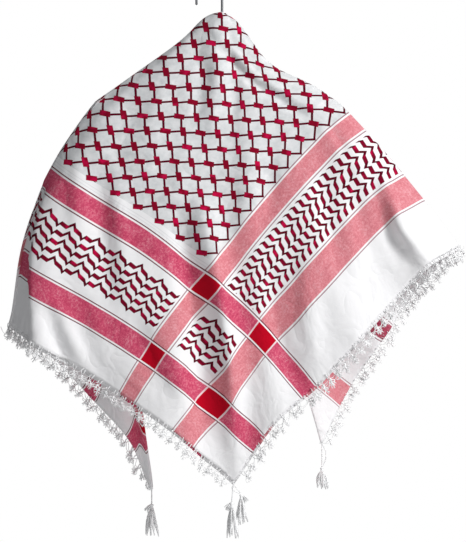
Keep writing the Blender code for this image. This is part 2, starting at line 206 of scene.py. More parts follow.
# %% The fan of lines
# cut_* and turn_* are degrees from straight down, positive to the right; depth_* is mm behind the
# hanger; reach_* is the hanging length over the flat length.
Line = namedtuple("Line", "cut_top cut_hem turn_neck turn_top turn_hem "
                          "depth_neck depth_top depth_hem reach_top reach_hem")
LINES = [Line(*row) for row in (
    # left flap behind the hanger, from the fold edge outwards
    (-90.0, -90.0, -60, -24.0, -8.5, 13, 17, 50, 1.00, 0.890),
    (-85.0, -84.5, -66, -28.8, -10.4, 11, 20, 58, 1.00, 0.925),
    (-79.0, -77.0, -71, -34.6, -13.6, 9, 18, 50, 1.01, 0.950),
    (-72.0, -70.0, -76, -41.5, -19.2, 6, 19, 64, 1.03, 0.960),
    (-66.0, -61.0, -81, -47.3, -26.6, 3, 16, 50, 1.04, 0.965),
    (-60.5, -53.0, -85, -52.2, -32.8, 0, 10, 36, 1.05, 0.985),
    (-56.0, -47.5, -87, -55.2, -34.8, -3, 0, 6, 1.06, 0.994),
    # front
    (-51.5, -43.5, -84, -52.4, -32.8, -6, -10, -20, 1.06, 0.994),
    (-47.0, -39.0, -76, -47.5, -29.2, -9, -14, -36, 1.05, 0.990),
    (-36.0, -31.0, -58, -35.0, -22.0, -13, -18, -36, 1.02, 0.970),
    (-24.5, -22.0, -38, -22.0, -14.3, -16, -20, -50, 0.99, 0.953),
    (-14.0, -13.0, -18, -10.0, -6.2, -18, -21, -60, 0.985, 0.934),
    (-4.8, -4.8, -2, 0.6, 1.4, -19, -22, -44, 0.985, 0.937),
    (3.0, 3.0, 12, 9.0, 7.1, -19, -22, -62, 0.985, 0.948),
    (11.0, 10.4, 26, 17.4, 13.6, -18, -21, -52, 0.985, 0.984),
    (18.5, 20.0, 42, 25.6, 21.7, -16, -19, -58, 0.99, 1.000),
    (26.0, 30.0, 52, 33.6, 30.3, -13, -18, -44, 1.00, 1.005),
    (33.0, 38.6, 58, 41.4, 38.6, -9, -17, -46, 1.01, 1.000),
    (40.5, 44.0, 63, 49.5, 43.2, -6, -10, -24, 1.04, 1.020),
    (44.5, 48.0, 66, 52.3, 45.6, -3, 0, 2, 1.055, 1.035),
    # right flap behind the hanger
    (48.5, 52.5, 70, 49.5, 43.4, 0, 10, 34, 1.055, 1.020),
    (54.0, 58.0, 67, 44.4, 38.6, 3, 16, 38, 1.04, 1.010),
    (61.0, 65.5, 63, 37.6, 33.0, 6, 18, 64, 1.02, 0.995),
    (70.0, 73.5, 58, 29.0, 27.2, 9, 20, 46, 1.00, 0.980),
    (80.0, 82.0, 52, 19.5, 18.9, 12, 20, 70, 1.00, 0.980),
    (90.0, 90.0, 45, 10.0, 13.2, 13, 18, 52, 1.00, 0.965),
)]
FRONT_CORNER = 12
LAST = len(LINES) - 1

Fold = namedtuple("Fold", "place_top place_hem start width height")
FOLDS = [Fold(*row) for row in (
    (6.4, 8.1, 0.35, 0.65, 9),
    (8.9, 9.6, 0.55, 0.60, -8),
    (10.6, 11.4, 0.60, 0.60, 6),
    (12.4, 12.1, 0.70, 0.60, -8),
    (14.6, 15.0, 0.45, 0.60, 7),
    (16.4, 16.2, 0.40, 0.60, -6),
    (17.2, 17.2, 0.30, 0.60, 8),
    (4.2, 4.4, 0.50, 0.60, -9),
    (22.5, 22.6, 0.50, 0.60, -9),
)]
print(len(LINES), "lines and", len(FOLDS), "large folds")


# %% Helpers for smooth changes
def mix(start, end, share):
    return start + (end - start) * share


def bell(distance, width):
    """A smooth hill, 1 at no distance."""
    return math.exp(-(distance / width) ** 2)


def limited(value):
    return min(max(value, 0.0), 1.0)


def catmull_rom(before, start, end, after, share):
    """Smooth value between start and end that keeps the slope of its neighbours."""
    linear = 0.5 * (end - before)
    square = before - 2.5 * start + 2 * end - 0.5 * after
    cube = 0.5 * (after - before) + 1.5 * (start - end)
    return start + share * (linear + share * (square + share * cube))


print("a hill falls to %.2f at its width" % bell(1, 1))

# %% The left edge
LEFT_FLAP = 6.5          # up to this line the cloth lies behind the hanger
FLAP_BUNCH = 1.5         # it hangs flat near its corner and is bunched towards the front
EDGE_ROUND = 22          # mm by which the left edge turns back before it goes behind
EDGE_LINES = 1.3
EDGE_GROWTH = 1.7        # it is fully round below 1 / 1.7 of the length
EDGE_BULGE = 2.0         # degrees by which it bulges outwards half way down
BULGE_LINE, BULGE_LINES = 7, 2.5
BULGE_SHARE, BULGE_LENGTH = 0.74, 0.22
TUCK_START = 0.61        # share of the length below which the left edge has a tuck
TUCK_LIP = 6.75          # the line at which its lip starts
TUCK_SPREAD = 1.2        # lines by which the lip has moved at the hem
TUCK_CURVE = 0.8
LIP_SLOPE = 5            # the step behind the lip is 1 / 5 of a line wide
TUCK_GROWTH = 14         # it is fully there 1 / 14 of the length below its start
TUCK_SLIDE = 15 * MM     # how far the weave is out of step across it
SLIDE_LINE = 5.5         # the slide starts here and is full one line further
SLIDE_END = 9            # it fades over the last 1 / 9 of the length above the hem


def inside_tuck(place, share):
    """How many lines a point lies behind the lip of the left tuck; below 0 in front of it."""
    down = max(share - TUCK_START, 0.0) / (1 - TUCK_START)
    return TUCK_LIP + TUCK_SPREAD * down ** TUCK_CURVE - place if down > 0 else -1.0


def tuck_growth(share):
    return min((share - TUCK_START) * TUCK_GROWTH, 1.0)


print("tuck over the lowest %.0f %% of the left edge" % (100 - 100 * TUCK_START))


# %% A point of the cloth
def line_at(place):
    """The line at a place in the fan, between rows as well."""
    index = min(max(math.floor(place), 0), LAST - 1)
    rows = [LINES[min(max(index + step, 0), LAST)] for step in (-1, 0, 1, 2)]
    return Line(*(catmull_rom(*values, place - index) for values in zip(*rows)))


def hem_distance(cut_angle):
    """Flat distance from the neck to the hem in one direction of the triangle."""
    down, across = math.cos(math.radians(cut_angle)), math.sin(math.radians(cut_angle))
    to_left_hem = FRONT_LEFT_TO_NECK * math.sqrt(2) / max(down - across, 0.01)
    to_right_hem = FRONT_RIGHT_TO_NECK * math.sqrt(2) / max(down + across, 0.01)
    return min(to_left_hem, to_right_hem)


def below_shoulder(line, share):
    """0 at the hanger's arms and 1 at the hem, and the same eased."""
    top_share = SHOULDER / hem_distance(line.cut_hem)
    below = limited((share - top_share) / (1 - top_share))
    return below, 1 - (1 - below) ** HANG_EASE


def flat_point(place, share):
    """Where the point lies in the cut: its distances from the front left and right hems."""
    flat_place = place
    if place < LEFT_FLAP:
        flat_place = LEFT_FLAP * (place / LEFT_FLAP) ** FLAP_BUNCH
    line = line_at(flat_place)
    cut = mix(line.cut_top, line.cut_hem, below_shoulder(line, share)[1])
    length = share * hem_distance(cut) / math.sqrt(2)
    down, across = math.cos(math.radians(cut)), math.sin(math.radians(cut))
    slide = TUCK_SLIDE * limited(LIP_SLOPE * inside_tuck(place, share))
    slide *= limited(place - SLIDE_LINE) * min((1 - share) * SLIDE_END, tuck_growth(share))
    return (FRONT_LEFT_TO_NECK + length * (across - down) - slide,
            FRONT_RIGHT_TO_NECK - length * (across + down))


def hanging_depth(place, share, line, below, eased, length):
    """How far behind the hanger it lies, in mm."""
    depth = mix(line.depth_top, line.depth_hem, eased)
    depth += (line.depth_neck - line.depth_top) * bell(length, 2 * NECK_TURN)
    for fold in FOLDS:
        growth = max(share - fold.start, 0.0) / (1 - fold.start)
        centre = mix(fold.place_top, fold.place_hem, below)
        depth -= fold.height * growth * bell(place - centre, fold.width)
    depth += EDGE_ROUND * bell(place - LEFT_FLAP, EDGE_LINES) * min(share * EDGE_GROWTH, 1.0)
    return mix(depth, NECK.y / MM, bell(length, NECK_DEPTH_TURN))


def cloth_point(place, share, extra=0.0):
    """Where it hangs."""
    line = line_at(place)
    below, eased = below_shoulder(line, share)
    cut = mix(line.cut_top, line.cut_hem, eased)
    length = share * hem_distance(cut) + extra * below

    turn = mix(line.turn_top, line.turn_hem, eased)
    turn += (line.turn_neck - line.turn_top) * bell(length, NECK_TURN)
    turn -= DIP_ANGLE * bell(length - DIP_PLACE, DIP_WIDTH) * bell(place - DIP_LINE, DIP_LINES)
    turn -= EDGE_BULGE * bell(place - BULGE_LINE, BULGE_LINES) * bell(
        share - BULGE_SHARE, BULGE_LENGTH)

    depth = hanging_depth(place, share, line, below, eased, length)
    rounding = NECK_ROUND * max(math.cos(math.radians(cut)), 0.0)
    hanging = math.hypot(length, rounding) - rounding
    hanging *= mix(line.reach_top, line.reach_hem, below ** 2)
    angle = math.radians(turn)
    return Vector((NECK.x + hanging * math.sin(angle), depth * MM,
                   NECK.z - hanging * math.cos(angle)))


corner = cloth_point(FRONT_CORNER, 1.0)
print("front corner at x %.0f, z %.0f mm" % (corner.x / MM, corner.z / MM))

# %% [markdown]
# ## Creases and puckers
#
# The large folds are in the fan already.  Worn cotton also keeps sharp little creases, and its
# hem puckers where the fringe is knotted.  Each crease is a bent stroke in the front view with a
# width and a height, in its own sizes.  They could be bump only, but then the outline and the
# pattern would stay dead straight, so they move the cloth itself.

# %% Crease table
Crease = namedtuple("Crease", "x1 z1 x2 z2 x3 z3 width height")
FRONT_CREASES = [Crease(*row) for row in (
    # from the neck across the net
    (-6, -77, 62, -152, 168, -220, 7, -4.5),
    (10, -70, 74, -146, 178, -206, 7, 4.0),
    (-30, -66, -12, -140, -22, -215, 12, -5.0),
    (8, -66, 14, -150, 2, -240, 12, 5.0),
    (30, -66, 44, -160, 34, -260, 11, -5.0),
    (-60, -120, -90, -210, -100, -310, 16, 4.0),
    (-120, -180, -150, -270, -160, -350, 16, -4.0),
    (-30, -260, -50, -330, -60, -400, 16, 4.0),
    (66, -250, 62, -330, 52, -400, 17, 5.5),
    (104, -260, 100, -340, 84, -420, 15, -5.0),
    # the long ridge beside the crossings, with a valley to its left
    (-10, -360, 34, -590, 46, -790, 19, 29.0),
    (-50, -380, -16, -590, -8, -770, 16, -18.0),
    # right of the second crossing
    (158, -450, 164, -560, 180, -640, 20, 13.0),
    (100, -470, 112, -570, 140, -650, 19, -12.0),
    (128, -560, 150, -610, 170, -650, 8, 4.0),
    # the lower front
    (-78, -560, -52, -630, -28, -690, 16, 6.0),
    (-120, -540, -100, -610, -78, -660, 16, -6.0),
    (-190, -500, -180, -560, -160, -620, 17, 5.0),
    (4, -700, 14, -750, 22, -790, 8, -4.0),
    # waves along the left stripes
    (-184, -300, -176, -390, -166, -490, 13, -7.0),
    (-152, -300, -146, -390, -134, -490, 13, 7.0),
    (-214, -290, -216, -345, -220, -410, 11, 5.0),
    (-206, -350, -212, -430, -206, -500, 18, 5.0),
    # the left end
    (-262, -532, -248, -582, -220, -630, 8, -12.0),
    (-244, -524, -226, -570, -202, -618, 8, 9.0),
    (-250, -380, -262, -440, -262, -510, 16, 4.0),
    # the right end
    (210, -300, 224, -380, 246, -460, 15, 6.0),
    (180, -320, 196, -400, 214, -480, 13, -5.0),
    (262, -310, 288, -400, 330, -470, 13, -9.0),
    (284, -310, 313, -400, 356, -454, 8, 9.0),
    (190, -215, 212, -250, 226, -280, 7, -4.0),
)]
BACK_CREASES = [Crease(*row) for row in (
    (-60, -150, -110, -260, -150, -380, 13, -3.5),
    (-90, -420, -100, -560, -104, -700, 10, -3.0),
    (-180, -330, -215, -430, -235, -540, 13, 3.5),
    (-270, -380, -285, -450, -300, -520, 12, -3.0),
    (70, -170, 120, -280, 175, -390, 13, -3.5),
    (120, -420, 160, -540, 190, -660, 11, 3.5),
    (230, -330, 275, -410, 320, -480, 12, -3.5),
    (180, -260, 240, -340, 300, -400, 12, 3.0),
)]
print(len(FRONT_CREASES), "creases in front and", len(BACK_CREASES), "behind")

# %% Height of the creases
CREASE_ENDS = 0.12                # of a half wave left out at each end, so it starts with a step


def stroke_distance(x, z, crease):
    """Distance from a bent stroke, and how near its middle we are."""
    best = (1e9, 0.0)
    corners = ((crease.x1, crease.z1), (crease.x2, crease.z2), (crease.x3, crease.z3))
    for index, ((ax, az), (bx, bz)) in enumerate(zip(corners, corners[1:])):
        run = (bx - ax) ** 2 + (bz - az) ** 2
        share = limited(((x - ax) * (bx - ax) + (z - az) * (bz - az)) / run)
        distance = math.hypot(x - mix(ax, bx, share), z - mix(az, bz, share))
        best = min(best, (distance, (index + share) / 2))
    return best


def crease_height(point, creases):
    total = 0.0
    for crease in creases:
        distance, along = stroke_distance(point.x / MM, point.z / MM, crease)
        if distance < 3 * crease.width:
            fade = math.sin(math.pi * mix(CREASE_ENDS, 1 - CREASE_ENDS, along))
            total += crease.height * bell(distance, crease.width) * fade
    return total * MM


print("tallest crease %.0f mm" % max(crease.height for crease in FRONT_CREASES))

# %% Add the tuck, puckers and slight waviness
FRONT_START, FRONT_END = 5.5, 19.8     # the front creases show between these lines
START_LINES, END_LINES = 2, 1.5        # and fade out over so many lines
TUCK_DEPTH = 10 * MM
TUCK_INNER_LINE = 5.2                  # the tuck starts here and is deep one line further
LIP_HEIGHT, LIP_LINES = 2.5 * MM, 0.5
PUCKER_REACH = 26 * MM                 # the puckers fade out this far above the hem
PUCKER_HEIGHT = 1.3 * MM
PUCKERS_PER_LINE = 2.6
PUCKER_DRIFT, DRIFT_PER_LINE = 1.7, 3.1     # they aren't evenly spaced
LINE_LENGTH = 0.8                      # m, a line of the fan, roughly
CRUMPLE_HEIGHT = 1.1 * MM
CRUMPLES_PER_METRE, CRUMPLES_PER_LINE = 14, 0.15
CRUMPLE_GROWTH = 6                     # fully there below 1 / 6 of the length


def tuck_height(place, share):
    """The lip stands out a little, and behind it the cloth steps back."""
    behind = inside_tuck(place, share)
    if behind > 0:
        return -TUCK_DEPTH * min(LIP_SLOPE * behind, 1.0) * limited(
            place - TUCK_INNER_LINE) * tuck_growth(share)
    if share > TUCK_START:
        return LIP_HEIGHT * bell(behind, LIP_LINES) * tuck_growth(share)
    return 0.0


def relief(place, share, point):
    """How far a point stands out from the smooth drape."""
    front = limited((place - FRONT_START) / START_LINES) * limited((FRONT_END - place) / END_LINES)
    height = front * crease_height(point, FRONT_CREASES)
    height += (1 - front) * crease_height(point, BACK_CREASES)
    height += tuck_height(place, share)
    drift = PUCKER_DRIFT * math.sin(place * DRIFT_PER_LINE)
    pucker = math.sin(place * PUCKERS_PER_LINE * math.tau + drift)
    height += PUCKER_HEIGHT * pucker * bell((1 - share) * LINE_LENGTH, PUCKER_REACH)
    wander = Vector((point.x * CRUMPLES_PER_METRE, point.z * CRUMPLES_PER_METRE,
                     place * CRUMPLES_PER_LINE))
    height += CRUMPLE_HEIGHT * noise.noise(wander) * min(share * CRUMPLE_GROWTH, 1.0)
    return height


print("puckers %.1f mm high along the hem" % (PUCKER_HEIGHT / MM))

# %% [markdown]
# ## One sheet for both layers
#
# A maker has one square of cloth, so it is one sheet here too: the outer layer, a rounded fold
# along the folded edge, and the inner layer behind it.  The columns of points run down the lines
# of the fan and the rows run across.  Each point also keeps its place in the flat square, as a UV
# map, so the woven pattern follows every fold and the repeat never stretches.  A Solidify
# modifier gives the sheet its thin edge.

# %% Layers as grids of points
COLUMNS_PER_LINE = 7
ROWS = 104
ROW_SPREAD = 1.12                 # above 1 the rows lie closer together near the neck
FOLD_STEPS = 6                    # round the fold
FOLD_RADIUS = CLOTH + LAYER_SPACE / 2
PLACE_PROBE, SHARE_PROBE = 0.4, 0.025       # lines and share over which a slope is taken
NECK_FOLD_LEAN = math.radians(20)
INNER_TOP = Vector((0, 1.5, -9)) * MM       # where the inner layer starts, from the neck
INNER_FADE = 3.0                  # lines over which its drop fades out at the folded edges
INNER_SOFTNESS = 0.8


def cloth_axes(place, share, extra=0.0):
    """Outward normal, direction across the line and down the line."""
    share = max(share, 1.5 * SHARE_PROBE)
    before, after = share - SHARE_PROBE, min(share + SHARE_PROBE, 1.0)
    down = cloth_point(place, after, extra) - cloth_point(place, before, extra)
    along = cloth_point(place + PLACE_PROBE, share, extra)
    along -= cloth_point(place - PLACE_PROBE, share, extra)
    down.normalize()
    normal = down.cross(along).normalized()
    return normal, normal.cross(down), down


def inner_extra(place):
    """The inner layer hangs lower than the outer one, except at the folded edges."""
    return INNER_DROP * min(min(place, LAST - place) / INNER_FADE, 1.0)


def outer_point(place, share):
    point = cloth_point(place, share)
    return point + cloth_axes(place, share)[0] * relief(place, share, point)


def inner_point(place, share):
    """The layer under it, which follows the same creases a little more softly."""
    if share == 0:
        return NECK + INNER_TOP
    extra = inner_extra(place)
    normal, across, _ = cloth_axes(place, share, extra)
    smooth = cloth_point(place, share, extra)
    slack = NECK_SLACK * max(1 - share / NECK_SLACK_SHARE, 0.0)
    lift = INNER_SOFTNESS * relief(place, share, smooth) - INNER_OFFSET - slack
    return smooth + normal * lift


def fold_ring(place, outward_sign, share):
    """Points round the fold, from the outer layer to the inner one, without both ends."""
    outer, inner = outer_point(place, share), inner_point(place, share)
    if share == 0:
        lean = NECK_FOLD_LEAN
        outwards = Vector((0, math.cos(lean), math.sin(lean)))
    else:
        outwards = cloth_axes(place, share)[1] * outward_sign
    ring = []
    for step in range(1, FOLD_STEPS):
        angle = math.pi * step / FOLD_STEPS
        ring.append(mix(outer, inner, (1 - math.cos(angle)) / 2)
                    + outwards * FOLD_RADIUS * math.sin(angle))
    return ring


def column_places():
    return [index / COLUMNS_PER_LINE for index in range(LAST * COLUMNS_PER_LINE + 1)]


def row_shares():
    return [(index / ROWS) ** ROW_SPREAD for index in range(ROWS + 1)]


print("grid of", len(column_places()), "columns and", ROWS + 1, "rows for each layer")

# %% Flat places for the UV map
FOLD_LENGTH = math.pi * FOLD_RADIUS            # cloth that goes round the fold
FLAT_SIDE = SIDE + FOLD_LENGTH / math.sqrt(2)


def flat_fold(place, share, step):
    """Past the folded edge, square to it."""
    p, q = flat_point(place, share)
    past = FOLD_LENGTH * step / FOLD_STEPS / math.sqrt(2)
    return p + past, q + past


def flat_inner(place, share):
    """The inner layer is the outer one's mirror image across the fold."""
    p, q = flat_point(place, share)
    return FLAT_SIDE - q, FLAT_SIDE - p


print("flat square %.1f mm" % (FLAT_SIDE / MM))


# %% Join the grids into the sheet
WELD = 0.001 * MM                 # points nearer than this become one
SHEET = 0.7 * MM
BAKE_MARGIN = 0.005               # free border of the second UV map, as a share of its side


def closed_ring(share):
    """All points of one row, right round: outer layer, right fold, inner layer, left fold."""
    places = column_places()
    ring = [(outer_point(place, share), flat_point(place, share)) for place in places]
    right = fold_ring(LAST, 1, share)
    ring += [(point, flat_fold(LAST, share, step + 1)) for step, point in enumerate(right)]
    ring += [(inner_point(place, share), flat_inner(place, share)) for place in places[::-1]]
    left = fold_ring(0, -1, share)[::-1]
    ring += [(point, flat_fold(0, share, FOLD_STEPS - 1 - step))
             for step, point in enumerate(left)]
    return ring


def drape_sheet(name):
    rings = [closed_ring(share) for share in row_shares()]
    count = len(rings[0])
    shape = bmesh.new()
    grid = [[shape.verts.new(point) for point, _ in ring] for ring in rings]
    flat = {vert: where for verts, ring in zip(grid, rings)
            for vert, (_, where) in zip(verts, ring)}
    for upper, lower in zip(grid, grid[1:]):
        for index in range(count):
            after = (index + 1) % count
            shape.faces.new((upper[index], lower[index], lower[after], upper[after]))
    weave = shape.loops.layers.uv.new("weave")
    bake = shape.loops.layers.uv.new("OFBake")
    for face in shape.faces:
        for loop in face.loops:
            p, q = flat[loop.vert]
            loop[weave].uv = (p, q)
            loop[bake].uv = [mix(BAKE_MARGIN, 1 - BAKE_MARGIN, side / FLAT_SIDE) for side in (p, q)]
    bmesh.ops.remove_doubles(shape, verts=shape.verts, dist=WELD)
    bmesh.ops.dissolve_degenerate(shape, edges=shape.edges, dist=WELD)
    sheet = placed(finished(shape, name))
    edge = sheet.modifiers.new("Thin edge", "SOLIDIFY")
    edge.thickness = SHEET
    edge.offset = -1
    return sheet


cloth = drape_sheet("cloth")
print("cloth:", len(cloth.data.polygons), "faces")

# %% [markdown]
# ## The woven pattern
#
# The pattern is woven, so it belongs to the flat square.  It is made of four things: a net over
# the middle, two stripes along every side, rows of zigzags between the stripes, and plain
# margins.  A picture could be painted on, but a rule is sharper at any size, so each motif is
# written as arithmetic on the flat place.  The small class below turns Python arithmetic into
# Math nodes, so a rule reads like a formula.

# %% Arithmetic that builds Math nodes
EDGE_SOFT = 0.35                  # mm over which a line's edge fades


class Field:
    """A number that varies over the cloth, as a node socket."""

    def __init__(self, socket):
        self.socket = socket

    def _node(self, operation, *others):
        tree = self.socket.id_data
        node = tree.nodes.new("ShaderNodeMath")
        node.operation = operation
        for port, value in zip(node.inputs, (self, *others)):
            if isinstance(value, Field):
                tree.links.new(value.socket, port)
            else:
                port.default_value = value
        return Field(node.outputs[0])

    __add__ = __radd__ = partialmethod(_node, "ADD")
    __mul__ = __rmul__ = partialmethod(_node, "MULTIPLY")
    __sub__ = partialmethod(_node, "SUBTRACT")
    over = partialmethod(_node, "DIVIDE")
    size = partialmethod(_node, "ABSOLUTE")
    least = partialmethod(_node, "MINIMUM")
    most = partialmethod(_node, "MAXIMUM")
    fraction = partialmethod(_node, "FRACT")
    nearest = partialmethod(_node, "ROUND")
    remainder = partialmethod(_node, "FLOORED_MODULO")
    sine = partialmethod(_node, "SINE")

    def __rsub__(self, other):
        return self * -1.0 + other

    def clamped(self):
        node = self + 0.0
        node.socket.node.use_clamp = True
        return node

    def below(self, limit, soft=EDGE_SOFT):
        """1 where this is under the limit and 0 above it, with a soft edge."""
        node = (limit - self)._node("MULTIPLY_ADD", 1 / soft, 0.5)
        node.socket.node.use_clamp = True
        return node

    def beyond(self, limit, soft=EDGE_SOFT):
        return (limit - self).below(0.0, soft)


def between(value, low, high):
    return (value - (low + high) / 2).size().below((high - low) / 2)


print("arithmetic ready")

# %% [markdown]
# The net is a slanted lattice.  Its threads run along two directions that are half the sum and
# half the difference of the repeats along the two sides of the square.  At each crossing sits a
# block, lying or standing in turn, and the threads run from the lower right of one block to the
# upper left of the next.

# %% Net
NET_STEP_Q = 42.0                 # mm, repeat along the side stripes
NET_STEP_P = 31.4                 # mm, repeat across them
NET_PLACE_P, NET_PLACE_Q = 25.6, 26.0   # mm from the hems to one crossing of the lattice
LINK_ACROSS = Vector((27.1, 0.0))  # one link of the net as it hangs: across and down, mm
LINK_DOWN = Vector((9.4, 27.0))
THREAD = 1.75                     # half the width of a thread, mm
LYING_START, LYING_DRIFT = 2.4, 3.4         # mm off a block's middle where a thread starts,
STANDING_START, STANDING_DRIFT = 3.0, 5.6   # and how far it drifts on its way to the next
BLOCK_LONG, BLOCK_SHORT = 7.9, 4.5
FLAT_SLANT, TALL_SLANT = 0.16, 0.24
BLOCK_SOFT = 0.12


def net_pattern(p, q):
    """Threads and blocks as two fields."""
    along = (q - NET_PLACE_Q).over(-NET_STEP_Q)
    across = (p - NET_PLACE_P).over(NET_STEP_P)
    i, j = along + across, along - across
    nearest_i, nearest_j = i.nearest(), j.nearest()
    off_i, off_j = i - nearest_i, j - nearest_j
    lying = (off_j * LINK_DOWN.y
             - (LYING_START - LYING_DRIFT * i.fraction())).size().below(THREAD)
    standing = (off_i * LINK_ACROSS.x
                - (STANDING_START - STANDING_DRIFT * j.fraction())).size().below(THREAD)
    x = off_i * LINK_ACROSS.x + off_j * LINK_DOWN.x
    y = off_j * LINK_DOWN.y
    flat_block = (x.size().over(BLOCK_LONG)).most((y - x * FLAT_SLANT).size().over(BLOCK_SHORT))
    tall_block = ((x - y * TALL_SLANT).size().over(BLOCK_SHORT)).most(y.size().over(BLOCK_LONG))
    odd = (nearest_i + nearest_j).remainder(2.0)
    block = flat_block * odd + tall_block * (1.0 - odd)
    return lying.most(standing), block.below(1.0, BLOCK_SOFT)


print("net repeat %.1f by %.1f mm" % (NET_STEP_Q, NET_STEP_P))

# %% [markdown]
# A zigzag row is one thread that turns up and down in turn.  Each stroke is a steep link, a thick
# leaf along the row and another steep link.  The thread is equally wide everywhere across the row,
# which makes the leaves thick and the links thin.  Rows follow each other at half the net's
# repeat, so the panels sit well beside it.

# %% Zigzag rows
STROKE = NET_STEP_Q / 2           # mm along the row for one stroke
ROW_STEP = NET_STEP_P / 2         # mm from row to row
THREAD_HALF = 3.4 / ROW_STEP      # half the thread's width across the row, in rows
# where the leaf of a stroke starts and ends: shares of the stroke along the row and across it
LYING_LEAF = ((0.14, 0.43), (0.66, 0.34))
STANDING_LEAF = ((0.24, 0.44), (0.77, 0.62))
LEAF_MIDDLE, LEAF_HALF, LEAF_SOFT = 0.46, 0.27, 0.1     # the part with the leaf's own red
ROW_SOFT, TURN_SOFT = 0.05, 0.001           # softness of a thread's edge, and of a turn


def stroke_line(t, leaf):
    """Link, leaf and link of one stroke: how far across the row the thread is."""
    (start, low), (end, high) = leaf
    first_link = t * (low / start)
    middle = (t - start) * ((high - low) / (end - start)) + low
    last_link = (t - end) * ((1 - high) / (1 - end)) + high
    return first_link.least(middle).most(last_link)


def zigzag_pattern(p, q, row_start, stroke_start, row_span=None, stroke_span=None):
    """Thread and leaves for rows that run along q and follow each other along p.

    The spans are the first and last whole row, and where in strokes a row starts and ends.
    """
    strokes = (stroke_start - q).over(STROKE)
    lying = (strokes * 0.5).fraction().below(0.5, TURN_SOFT)
    t = strokes.fraction()
    rise = stroke_line(t, LYING_LEAF) * lying
    fall = (1.0 - stroke_line(t, STANDING_LEAF)) * (1.0 - lying)
    rows = (p - row_start).over(ROW_STEP) - rise - fall
    ink = (rows - rows.nearest()).size().below(THREAD_HALF, ROW_SOFT)
    if row_span:
        ink = ink * between(rows.nearest(), row_span[0] - 0.5, row_span[1] + 0.5)
    if stroke_span:
        ink = ink * between(strokes * STROKE, stroke_span[0] * STROKE, stroke_span[1] * STROKE)
    return ink, ink * (t - LEAF_MIDDLE).size().below(LEAF_HALF, LEAF_SOFT)


print("zigzag stroke %.1f mm, rows %.1f mm apart" % (STROKE, ROW_STEP))

# %% [markdown]
# The stripes along two opposite sides are deep rose, and along the other two a paler pink,
# because one set is in the warp and the other in the weft.  Where they cross, both threads are
# red and the square is solid.  Every stripe has a thin white line and a thin dark line beside it.

# %% Stripes and panels, in mm from the hem
P_STRIPES = ((76.0, 114.0), (234.5, 268.0))
Q_STRIPES = ((98.5, 144.0), (241.5, 273.0))
WHITE_LINE = 3.0
DARK_LINE = 1.9
P_PANEL = (119.0, 229.5)
Q_PANEL = (149.0, 236.5)
PANEL_START = 8.0                 # the panels start so far behind the crossing stripe
FIRST_ROW = 137.0
P_ROWS = (0, 4)
Q_STROKES = (0.0, 3.75)
ROW_PLACE = 5.0                   # where a stroke starts along the long rows
CROSS_PLACE = 7.8                 # where a row starts along the panels that rows cross
CROSS_START = 231.5               # and how far from the hem its strokes begin
RIB_STEP = 4.6                    # faint corded lines between the net and its stripes
RIB_START, RIB_END = 274.0, 284.0
RIB_CROSS = 278.0                 # they start beyond the crossing stripe
NET_EDGE_P, NET_EDGE_Q = 290.0, 276.5       # the threads of the net start here
BLOCK_EDGE_P, BLOCK_EDGE_Q = 285.0, 289.0   # and its blocks here
DARKER_END = 62.0                 # one stripe is darker within this of the hem
INK_SOFT = 0.5


def stripe_pattern(edge, stripes):
    """Fill, white line and dark line of the two stripes along one pair of sides."""
    gaps = [(edge - (low + high) / 2).size() - (high - low) / 2 for low, high in stripes]
    gap = gaps[0].least(gaps[1])
    return (gap.below(0.0, INK_SOFT), between(gap, 0.0, WHITE_LINE),
            between(gap, WHITE_LINE, WHITE_LINE + DARK_LINE))


def net_and_blocks(p, q, p_edge, q_edge):
    """Where the net lies, the net with its blocks, and the blocks alone."""
    thread, block = net_pattern(p, q)
    in_net = p_edge.beyond(NET_EDGE_P, INK_SOFT) * q_edge.beyond(NET_EDGE_Q, INK_SOFT)
    in_blocks = p_edge.beyond(BLOCK_EDGE_P, INK_SOFT) * q_edge.beyond(BLOCK_EDGE_Q, INK_SOFT)
    blocks = block * in_blocks
    return in_net, (thread * in_net).most(blocks), blocks


def zigzag_panels(p, q, p_edge, q_edge):
    """Threads and leaves of the zigzags in both kinds of panel and in their crossings."""
    in_p, in_q = between(p_edge, *P_PANEL), between(q_edge, *Q_PANEL)
    panels = (
        (in_p * q_edge.beyond(Q_STRIPES[1][1] + PANEL_START),
         (p_edge, q, FIRST_ROW, ROW_PLACE, P_ROWS)),
        (in_q * p_edge.beyond(P_STRIPES[1][1] + PANEL_START),
         (p, q_edge, CROSS_PLACE, CROSS_START, None, Q_STROKES)),
        (in_p * in_q, (p_edge, q_edge, FIRST_ROW, CROSS_START, P_ROWS, Q_STROKES)),
    )
    inks = [[panel * part for part in zigzag_pattern(*rows)] for panel, rows in panels]
    return [sum(parts).clamped() for parts in zip(*inks)]


print("stripes", P_STRIPES, Q_STRIPES)

# %% [markdown]
# The colours are laid over each other like inks, each with a share that varies over the cloth.
# Fine noise makes the yarn heather: a little of the pale ground shows between the red threads, and
# some threads are deeper than others.

# %% Colours of the yarns and the order in which they lie
GROUND = (0.86, 0.855, 0.865)
NET_CELL = (0.60, 0.62, 0.63)
RIB_GREY = (0.52, 0.53, 0.55)
THREAD_RED = (0.095, 0.0010, 0.011)
BLOCK_RED = (0.23, 0.0015, 0.018)
LEAF_RED = (0.19, 0.0012, 0.018)
BRIGHT_RED = (0.52, 0.003, 0.055)
P_ROSE = (0.64, 0.090, 0.170)
P_SHADE = (0.36, 0.020, 0.066)
Q_PINK = (0.72, 0.25, 0.285)
Q_SHADE = (0.47, 0.10, 0.13)
CROSSING_RED = (0.48, 0.0012, 0.015)
DARK_RED = (0.12, 0.006, 0.02)
DARK_PINK = (0.24, 0.075, 0.105)
DEEP_ROSE = (0.30, 0.010, 0.055)
LINE_WHITE = (0.88, 0.85, 0.86)


